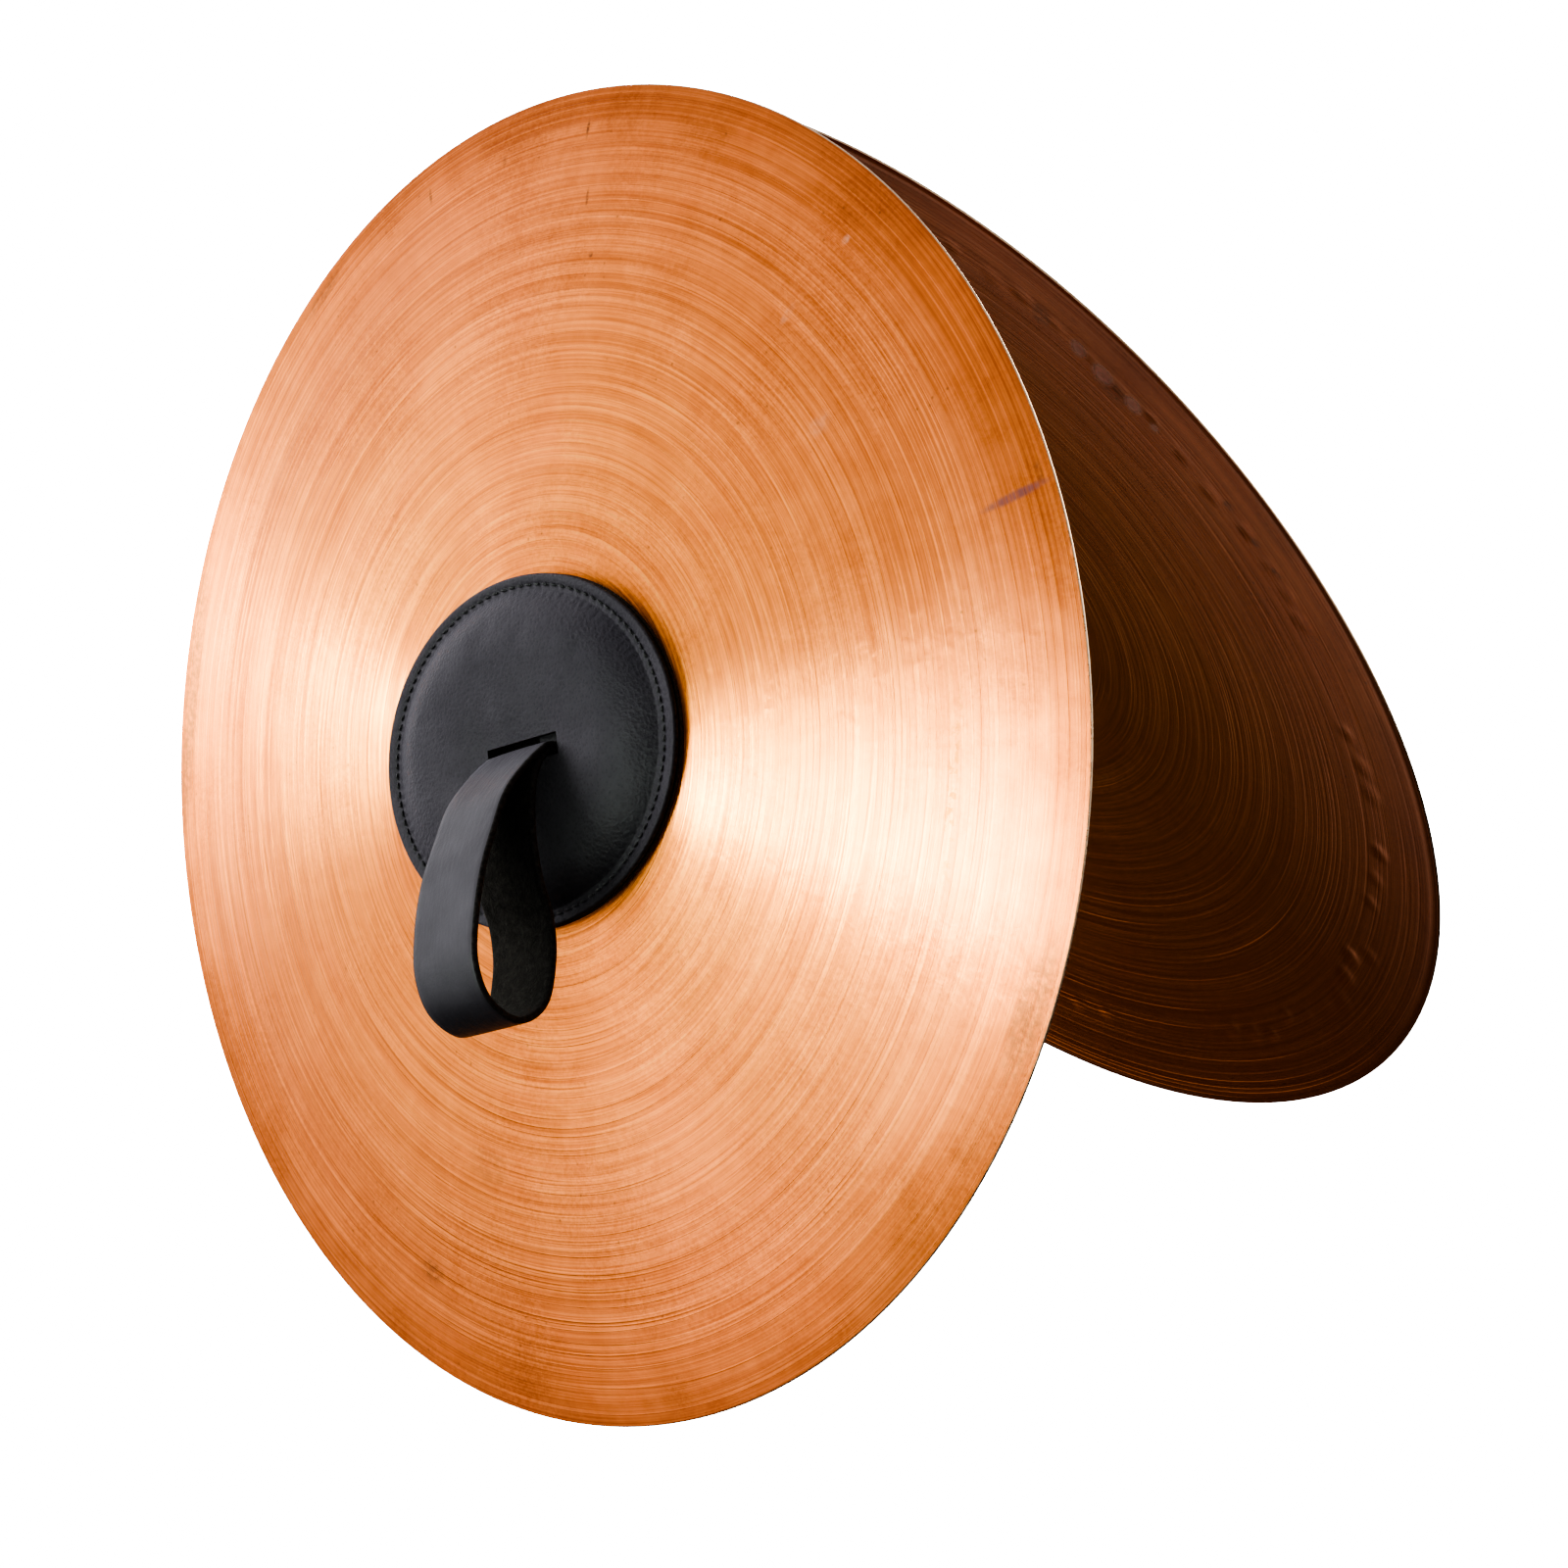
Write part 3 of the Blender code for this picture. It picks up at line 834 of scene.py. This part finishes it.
def stuffed_shape(side):
    """How far the stuffing pushes the leather up or down, per share and angle. A cloth simulation holds the
    sewn cover by its flange and the slot's edge, and pressure from the felt fills the rest."""
    u, v = pad_plan(SIM_SHARES[:, None], ring_angles(SIM_STEPS))
    r, angle = pad_polar(u, v)
    points = np.stack([u, v, cover_height(u, v, r, angle, 0)], -1).reshape(-1, 3)
    held = (r.ravel() > FLANGE_R + 0.0002) | (np.repeat(SIM_SHARES, SIM_STEPS) == 0)
    sheet = sewn_sheet(f"{side}_stuffing", points, np.flatnonzero(held))
    mesh = sheet.data
    scene = bpy.context.scene
    for number in range(1, SIM_FRAMES + 1):
        scene.frame_set(number)
    result = sheet.evaluated_get(bpy.context.evaluated_depsgraph_get()).to_mesh()
    moved = np.empty(len(points) * 3)
    result.vertices.foreach_get("co", moved)
    scene.frame_set(1)
    bpy.data.objects.remove(sheet)
    bpy.data.meshes.remove(mesh)
    rise = moved.reshape(-1, 3)[:, 2] - points[:, 2]
    return (SIM_CAP * np.tanh(rise / SIM_CAP)).reshape(len(SIM_SHARES), SIM_STEPS)


def spread_rise(rise, shares, angles):
    """The simulated rise read at finer shares and angles."""
    known = np.append(ring_angles(SIM_STEPS), 2 * math.pi)
    per_angle = np.array([np.interp(angles, known, row) for row in np.hstack([rise, rise[:, :1]])])
    return np.array([np.interp(shares, SIM_SHARES, column) for column in per_angle.T]).T


def seam_marks(r, plan_angle):
    """Depth of the channel that the stitches pull into the flange, and of the pucker at each stitch hole."""
    channel = 0.00022 * np.exp(-(((r - SEAM_R) / 0.00075) ** 2))
    holes = (0.5 + 0.5 * np.cos(plan_angle * STITCHES)) ** 3
    pucker = 0.00030 * holes * np.exp(-(((r - SEAM_R) / 0.0009) ** 2))
    pulled = 0.00016 * holes * np.exp(-(((r - SEAM_R + 0.0022) / 0.0014) ** 2))
    return channel + pucker + pulled


def soft_bumps(u, v, seed):
    """Broad hand-worn unevenness of the leather."""
    rng = np.random.default_rng(seed)
    total = np.zeros_like(u)
    for _ in range(9):
        size = rng.uniform(0.009, 0.024)
        lean = rng.uniform(0, 2 * math.pi)
        phase = rng.uniform(0, 2 * math.pi)
        total += np.sin((u * math.cos(lean) + v * math.sin(lean)) * 2 * math.pi / size + phase) * size
    return total * 0.0016


def cover_height(u, v, r, angle, seed):
    """The cover's top: a broad rounded shoulder up to a nearly flat crown, with a dip at the slot."""
    rise = np.clip((FLANGE_R - r) / SHOULDER_WIDTH, 0, 1)
    crown = SHOULDER_RISE * (1 - (1 - rise) ** 2.2) + CROWN_RISE * np.maximum(1 - (r / FLANGE_R) ** 2, 0)
    dip_u = np.maximum(np.abs(u - SLOT_OFFSET) - SLOT_HALF_LENGTH * 0.8, 0)
    dip = 0.0010 * np.exp(-((v / 0.0085) ** 2) - (dip_u / 0.006) ** 2)
    inside = 1 - smoothstep(r, 0.036, 0.0450)
    return cover_rim(r, angle) + crown + PAD_COVER_THICKNESS - dip + inside * soft_bumps(u, v, seed)


def cover_layers(rise, shares, seed):
    """Rings of the cover's shell: its top, its rounded edge, its underside and the slot's wall."""
    angles = ring_angles(PAD_STEPS)
    u, v = pad_plan(shares[:, None], angles)
    r, angle = pad_polar(u, v)
    settled = spread_rise(rise, shares, angles) * (1 - smoothstep(r, 0.042, FLANGE_R))
    top = cover_height(u, v, r, angle, seed) + settled - seam_marks(r, np.broadcast_to(angles, r.shape))
    layers = [np.stack([u, v, top], -1)]
    edge = np.stack(on_pad(PAD_R, angles), -1)
    low = flange_underside(angles)
    for inset, up in COVER_EDGE:
        ring = edge * (1 - inset / PAD_R)
        layers.append(np.dstack([ring[None], (low + up * PAD_COVER_THICKNESS)[None]]))
    under_u, under_v = pad_plan(np.linspace(0.97, 0.0, 16)[:, None], angles)
    sunk = cover_height(under_u, under_v, *pad_polar(under_u, under_v), seed) - PAD_COVER_THICKNESS
    layers.append(np.stack([under_u, under_v, sunk], -1))
    for wider, down in ((0.0003, SLOT_LINING), (0.0, SLOT_LINING), (0.0, SLOT_LINING / 2)):
        slit_u, slit_v = slot_outline(angles, SLOT_HALF_LENGTH + wider, SLOT_HALF_WIDTH + wider)
        layers.append(np.stack([slit_u, slit_v, top[0] - down], -1))
    return layers


def pad_cover(side, leather, cut, seed):
    """The crowned upper leather as a closed shell."""
    rise = stuffed_shape(side)
    shares = np.concatenate([np.linspace(0, 0.80, 34), np.linspace(0.805, 0.985, 34)])
    points = np.concatenate([layer.reshape(-1, 3) for layer in cover_layers(rise, shares, seed)])
    faces = joined_rings([PAD_STEPS] * (len(points) // PAD_STEPS))
    faces += ring_to_ring(len(points) - PAD_STEPS, 0, PAD_STEPS)
    face_slots = np.zeros(len(faces), np.int32)
    face_slots[(len(shares) + 1) * PAD_STEPS : (len(shares) + 5) * PAD_STEPS] = 1
    face_slots[-PAD_STEPS:] = 1
    piece = make_piece(f"{side}_pad_leather", points, faces, grip_frame(side), [leather, cut], face_slots)
    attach(piece, f"{side}_grip")
    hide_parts(f"{side}_pad_cover")
    return piece


def pad_backing(side, leather, cut):
    """The lower leather, which follows the bell and flares off it to the seam, with a rounded cut edge."""
    steps = 192
    angles = ring_angles(steps)
    radii = (PAD_HOLE_R, *BASE_RADII)
    layers = []
    for r in radii:
        layers.append((*on_pad(r, angles), base_top(np.full(steps, r), angles)))
    low = base_underside(np.full(steps, PAD_R), angles)
    for inset, up in BASE_EDGE:
        layers.append((*on_pad(PAD_R - inset, angles), low + up * PAD_BASE_THICKNESS))
    for r in radii[::-1]:
        layers.append((*on_pad(r, angles), base_underside(np.full(steps, r), angles)))
    points = np.concatenate([np.stack(layer, 1) for layer in layers])
    faces = tube_faces(len(layers), steps, closed=True)
    face_slots = np.zeros(len(faces), np.int32)
    face_slots[(len(radii) - 1) * steps : (len(radii) + len(BASE_EDGE)) * steps] = 1
    piece = make_piece(f"{side}_pad_backing", points, faces, grip_frame(side), [leather, cut], face_slots)
    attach(piece, f"{side}_grip")
    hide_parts(f"{side}_pad_base")
    return piece


def pad_stuffing(side, wool, seed):
    """The felt ring between the two leathers, soft-edged and a little uneven."""
    steps = 96
    angles = ring_angles(steps)
    rng = np.random.default_rng(seed)
    radii = np.linspace(FILLING_HOLE_R, FILLING_R, 9)
    layers = []
    for r in radii:
        layers.append((r, cover_underside(np.full(steps, r), angles) - SEAT - FELT_GAP))
    for r in radii[::-1]:
        layers.append((r, base_top(np.full(steps, r), angles) + SEAT))
    points = []
    for r, height in layers:
        fuzz = rng.normal(0, 0.00012, steps)
        points.append(np.stack([*on_pad(r + fuzz, angles), height - np.abs(fuzz)], 1))
    faces = tube_faces(len(layers), steps, closed=True)
    piece = make_piece(f"{side}_pad_felt", np.concatenate(points), faces, grip_frame(side), [wool])
    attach(piece, f"{side}_grip")
    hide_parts(f"{side}_pad_filling")
    return piece


def stitch(number, sections, sides):
    """Outlines along one stitch, which rises out of one hole and dives into the next."""
    shares = np.linspace(-1, 1, sections)
    around = (number + 0.5) * 2 * math.pi / STITCHES + 0.40 * 2 * math.pi / STITCHES * shares
    u, v = plan_of_seam(around)
    top = flange_underside(around) + PAD_COVER_THICKNESS + (0.00002 - 0.00075 * np.abs(shares) ** 3)
    size = (STITCH_R * (1 - 0.35 * shares**2))[:, None]
    turns = ring_angles(sides)
    across = size * np.cos(turns) + (0.00018 * shares)[:, None]
    out_u, out_v = np.cos(around)[:, None], np.sin(around)[:, None]
    points = [u[:, None] + across * out_u, v[:, None] + across * out_v, top[:, None] + size * np.sin(turns)]
    return np.stack(points, -1).reshape(-1, 3)


def stitching(side, thread):
    """Separate stitches round the flange."""
    sections, sides = 7, 6
    points = [stitch(number, sections, sides) for number in range(STITCHES)]
    faces = []
    for number in range(STITCHES):
        start = number * sections * sides
        faces += [[start + i for i in face] for face in tube_faces(sections, sides)]
    piece = make_piece(f"{side}_pad_stitches", np.concatenate(points), faces, grip_frame(side), [thread])
    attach(piece, f"{side}_grip")
    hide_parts(f"{side}_seam_thread")
    return piece


def plan_of_seam(angles):
    """Plan positions on the seam, in the directions of the cover's own grid."""
    low, high = np.full_like(angles, 0.7), np.ones_like(angles)
    for _ in range(24):
        share = (low + high) / 2
        r, _ = pad_polar(*pad_plan(share, angles))
        low, high = np.where(r < SEAM_R, share, low), np.where(r < SEAM_R, high, share)
    return pad_plan(share, angles)


# -------- bands of leather


def smooth_route(points, spans):
    """A Catmull-Rom curve through the points, with the given number of spans between each two."""
    padded = [2 * points[0] - points[1], *points, 2 * points[-1] - points[-2]]
    route = []
    for a, b, c, d in zip(padded, padded[1:], padded[2:], padded[3:]):
        for i in range(spans):
            t = i / spans
            bend = (2 * a - 5 * b + 4 * c - d) * t * t + (3 * b - a - 3 * c + d) * t**3
            route.append(0.5 * (2 * b + (c - a) * t + bend))
    return np.array([tuple(p) for p in route + [points[-1]]])


def band_outline(width, thickness, spans):
    """(across, up) points round a strap's section with rounded edges, and the kind of face that follows each:
    0 the lower flesh side, 1 a cut edge, 2 the upper grain side."""
    bevel = 0.38 * thickness
    flat = np.linspace(-1, 1, spans + 1) * (width / 2 - bevel)
    half = thickness / 2
    lower = [(x, -half) for x in flat]
    beside = width / 2 - 0.25 * bevel
    right = [(beside, -half + 0.4 * bevel), (width / 2, 0.0), (beside, half - 0.4 * bevel)]
    upper = [(x, half) for x in flat[::-1]]
    left = [(-x, y) for x, y in right[::-1]]
    kinds = [0] * spans + [1] * (len(right) + 1) + [2] * spans + [1] * (len(left) + 1)
    return np.array(lower + right + upper + left), kinds


def leather_band(name, route, widths, thickness, spans, place, matrix, materials, wobble, seed):
    """A strap of leather along a plane route. place(across, a, b) puts a point of the route's plane in the
    local frame. Its texture coordinates are those of the flat strip."""
    along = np.gradient(route, axis=0)
    along /= np.linalg.norm(along, axis=1)[:, None]
    up = np.stack([along[:, 1], -along[:, 0]], 1)
    length = np.concatenate([[0], np.cumsum(np.linalg.norm(np.diff(route, axis=0), axis=1))])
    outline, kinds = band_outline(1.0, thickness, spans)
    rng = np.random.default_rng(seed)
    phases = rng.uniform(0, 6, 4)
    points, flat = [], []
    for i, centre in enumerate(route):
        section, _ = band_outline(widths[i], thickness, spans)
        share = section[:, 0] / (widths[i] / 2)
        wave = np.sin(length[i] * 95 + phases[0]) * share + np.sin(length[i] * 160 + phases[1]) * share**2
        lift = section[:, 1] + wobble * (wave - 1.4 * share**2)
        ripple = wobble * 0.5 * np.sin(length[i] * 120 + phases[2])
        across = section[:, 0] + ripple * np.sign(share) * (abs(share) > 0.8)
        points.append(place(across, centre[0] + up[i, 0] * lift, centre[1] + up[i, 1] * lift))
        flat.append(np.stack([section[:, 0], np.full(len(section), length[i]), section[:, 1]], 1))
    faces = tube_faces(len(route), len(outline))
    face_slots = np.array(kinds * (len(route) - 1) + [1, 1], np.int32)
    textured = np.concatenate(flat)
    return make_piece(name, np.concatenate(points), faces, matrix, materials, face_slots, textured, 60)


def strap(side, materials, seed):
    """The hand loop in one band, out of the slot and back into it, bending at its root."""
    route = smooth_route([Vector(p) * 0.001 for p in STRAP_ROUTE_MM], 9)
    widths = np.full(len(route), STRAP_WIDTH)

    def place(across, a, b):
        return np.stack([across, a, b], 1)

    matrix = strap_frame(side)
    name, thickness = f"{side}_strap", 0.95 * STRAP_THICKNESS
    piece = leather_band(name, route, widths, thickness, 14, place, matrix, materials, 0.00012, seed)
    piece.visible_glossy = False
    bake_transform(piece)
    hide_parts(f"{side}_strap_loop")
    return piece


def strap_neck(side, materials):
    """The strap's ends pressed together below the slot, cut into four and drawn through the bell's hole."""
    turns = ring_angles(NECK_STEPS)
    squared = 1 / (np.abs(np.cos(turns)) ** 4 + np.abs(np.sin(turns)) ** 4) ** 0.25
    pinch = 1 - 0.10 * np.exp(-((np.mod(turns + math.pi / 4, math.pi / 2) - math.pi / 4) / 0.16) ** 2)
    points = []
    for height, centre, half_u, half_v in NECK_LEVELS:
        u = centre + half_u * squared * pinch * np.cos(turns)
        v = half_v * squared * pinch * np.sin(turns)
        points.append(np.stack([u, v, np.full(NECK_STEPS, height)], 1))
    points = np.concatenate(points)
    faces = tube_faces(len(NECK_LEVELS), NECK_STEPS)
    piece = make_piece(f"{side}_strap_tails", points, faces, grip_frame(side), [materials[0]])
    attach(piece, f"{side}_grip")
    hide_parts(f"{side}_strap_neck")
    return piece


def knot(side, materials):
    """Four thongs laid in a square inside the bell, each over one neighbour and under the next."""
    half = THONG_LENGTH / 2
    route = smooth_route([Vector((half * x, THONG_STEP * y)) for x, y in THONG_ROUTE], 8)
    from_end = np.minimum(route[:, 0] + half, half - route[:, 0])
    widths = THONG_WIDTH * (0.72 + 0.24 * smoothstep(from_end, 0, 0.004))
    thickness = 0.95 * THONG_THICKNESS

    def place(across, a, b):
        return np.stack([a, THONG_OFFSET + across, KNOT_HEIGHT + b], 1)

    for quarter in range(4):
        matrix = grip_frame(side) @ Matrix.Rotation(quarter * math.pi / 2, 4, "Z")
        name = f"{side}_knot_leather_{quarter + 1}"
        piece = leather_band(name, route, widths, thickness, 8, place, matrix, materials, 0.0001, quarter)
        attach(piece, f"{side}_grip")
        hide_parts(f"{side}_knot_thong_{quarter + 1}")


# -------- studio


def camera():
    data = bpy.data.cameras.new("camera")
    data.lens = LENS_MM
    data.sensor_width = 36.0
    made = in_scene("camera", data)
    back = Vector(CAMERA_BACK).normalized()
    right = Vector(CAMERA_RIGHT)
    right = (right - back * right.dot(back)).normalized()
    made.matrix_world = axes(right, back.cross(right), back, CAMERA_AT)
    bpy.context.scene.camera = made


def square_mesh(name, size, material):
    bm = bmesh.new()
    bmesh.ops.create_grid(bm, x_segments=1, y_segments=1, size=size)
    mesh = bpy.data.meshes.new(name)
    bm.to_mesh(mesh)
    bm.free()
    mesh.materials.append(material)
    return mesh


def panel_glow(name, strength, profile, tint):
    """Light from a panel's front only, graded from top to bottom."""
    s = Shader(name)
    s.tree.nodes.remove(s.principled)
    up = s.split(s.node("TexCoord").outputs["Object"])["Y"]
    ramp = s.node("ValToRGB", {"Fac": s.maths("SUBTRACT", 0.5, up)})
    ramp.color_ramp.interpolation = "EASE"
    stops = ramp.color_ramp.elements
    while len(stops) < len(profile):
        stops.new(0.5)
    for stop, (at, level) in zip(stops, profile):
        stop.position = at
        stop.color = (level, level, level, 1)
    glow = s.node("Emission", {"Color": rgb(*tint), "Strength": s.times(ramp.outputs["Color"], strength)})
    dark = s.node("Emission", {"Strength": 0.0})
    facing = s.node("NewGeometry").outputs["Backfacing"]
    mixed = s.node("MixShader", {0: facing, 1: dark.outputs[0], 2: glow.outputs[0]})
    s.tree.links.new(mixed.outputs[0], s.tree.nodes["Material Output"].inputs["Surface"])
    return s.material


def softbox(name, top_middle, roll, width, height, strength, profile, tint):
    """A far glowing panel hung from the middle of its top edge, in that direction from the object. Its width
    and height are tangents of angles."""
    panel = in_scene(name, square_mesh(name, 0.5, panel_glow(name, strength, profile, tint)))
    away = Vector(top_middle).normalized()
    level_right = Vector((0, 0, 1)).cross(away).normalized()
    right = Matrix.Rotation(math.radians(-roll), 3, away) @ level_right
    up_edge = away.cross(right)
    centre = STUDIO_R * (away - up_edge * height / 2)
    size = Matrix.Diagonal((STUDIO_R * width, STUDIO_R * height, 1, 1))
    panel.matrix_world = axes(right, up_edge, away, centre) @ size
    panel.visible_camera = False
    panel.visible_shadow = False
    return panel


def world():
    """White to the camera. Reflections see a pale band round the horizon that fades up and, sooner, down."""
    made = bpy.data.worlds.new("studio")
    bpy.context.scene.world = made
    made.use_nodes = True
    s = Nodes(made.node_tree)
    toward = s.node("TexCoord").outputs["Generated"]
    x, _, z = s.split(toward)
    level = s.times(
        s.range(z, 0.0, 0.65, WORLD_BAND, WORLD_TOP),
        s.range(z, -0.46, -0.16, WORLD_DARK, 1.0),
        s.range(x, 0.1, 0.8, 1.0, 0.5),
        s.range(x, -1.0, -0.6, 1.35, 1.0),
    )
    for middle, reach, strength in GLOWS:
        away = s.vector("LENGTH", s.vector("SUBTRACT", toward, Vector(middle).normalized()))
        level = s.plus(level, s.range(away, 0.0, reach, strength, 0.0))
    path = s.node("LightPath").outputs
    level = s.times(level, s.range(path["Is Diffuse Ray"], 0.0, 1.0, 1.0, WORLD_FILL, "LINEAR"))
    shown = s.mix(path["Is Camera Ray"], s.joined(level, level, level), rgb(9, 9, 9))
    s.set(s.tree.nodes["Background"].inputs["Color"], shown)
    made.cycles.sampling_method = "NONE"


def floor():
    """A pale floor just under the lower rims."""
    s = Shader("floor")
    s.surface(Base_Color=rgb(0.9, 0.9, 0.9), Roughness=0.9)
    s.surface(Emission_Color=rgb(1, 1, 1), Emission_Strength=8.0)
    made = in_scene("floor", square_mesh("floor", 12.0, s.material))
    made.location.z = CAD_BOX[0].z - 0.0005
    made.visible_glossy = False
    made.visible_diffuse = False
    made.visible_shadow = False


def studio():
    world()
    floor()
    for *panel, unseen_by in PANELS:
        setattr(softbox(*panel), unseen_by, False)
    view = bpy.context.scene.view_settings
    view.view_transform = "AgX"
    view.look = "AgX - Very High Contrast"


# -------- the model


def build():
    edge = polished_edge()
    grain, cut = pad_leather(), cut_leather()
    strap_sides = [flesh_leather(), cut, strap_leather()]
    wool, thread = felt(), waxed_thread()
    for number, side in enumerate(SIDES):
        seed = 100 * number
        cymbal(side, [bronze(side, False), edge, bronze(side, True)], seed + 7)
        pad_cover(side, grain, cut, seed + 21)
        pad_backing(side, grain, cut)
        pad_stuffing(side, wool, seed + 31)
        stitching(side, thread)
        strap(side, strap_sides, seed + 41)
        strap_neck(side, strap_sides)
        knot(side, strap_sides)


camera()
build()
studio()
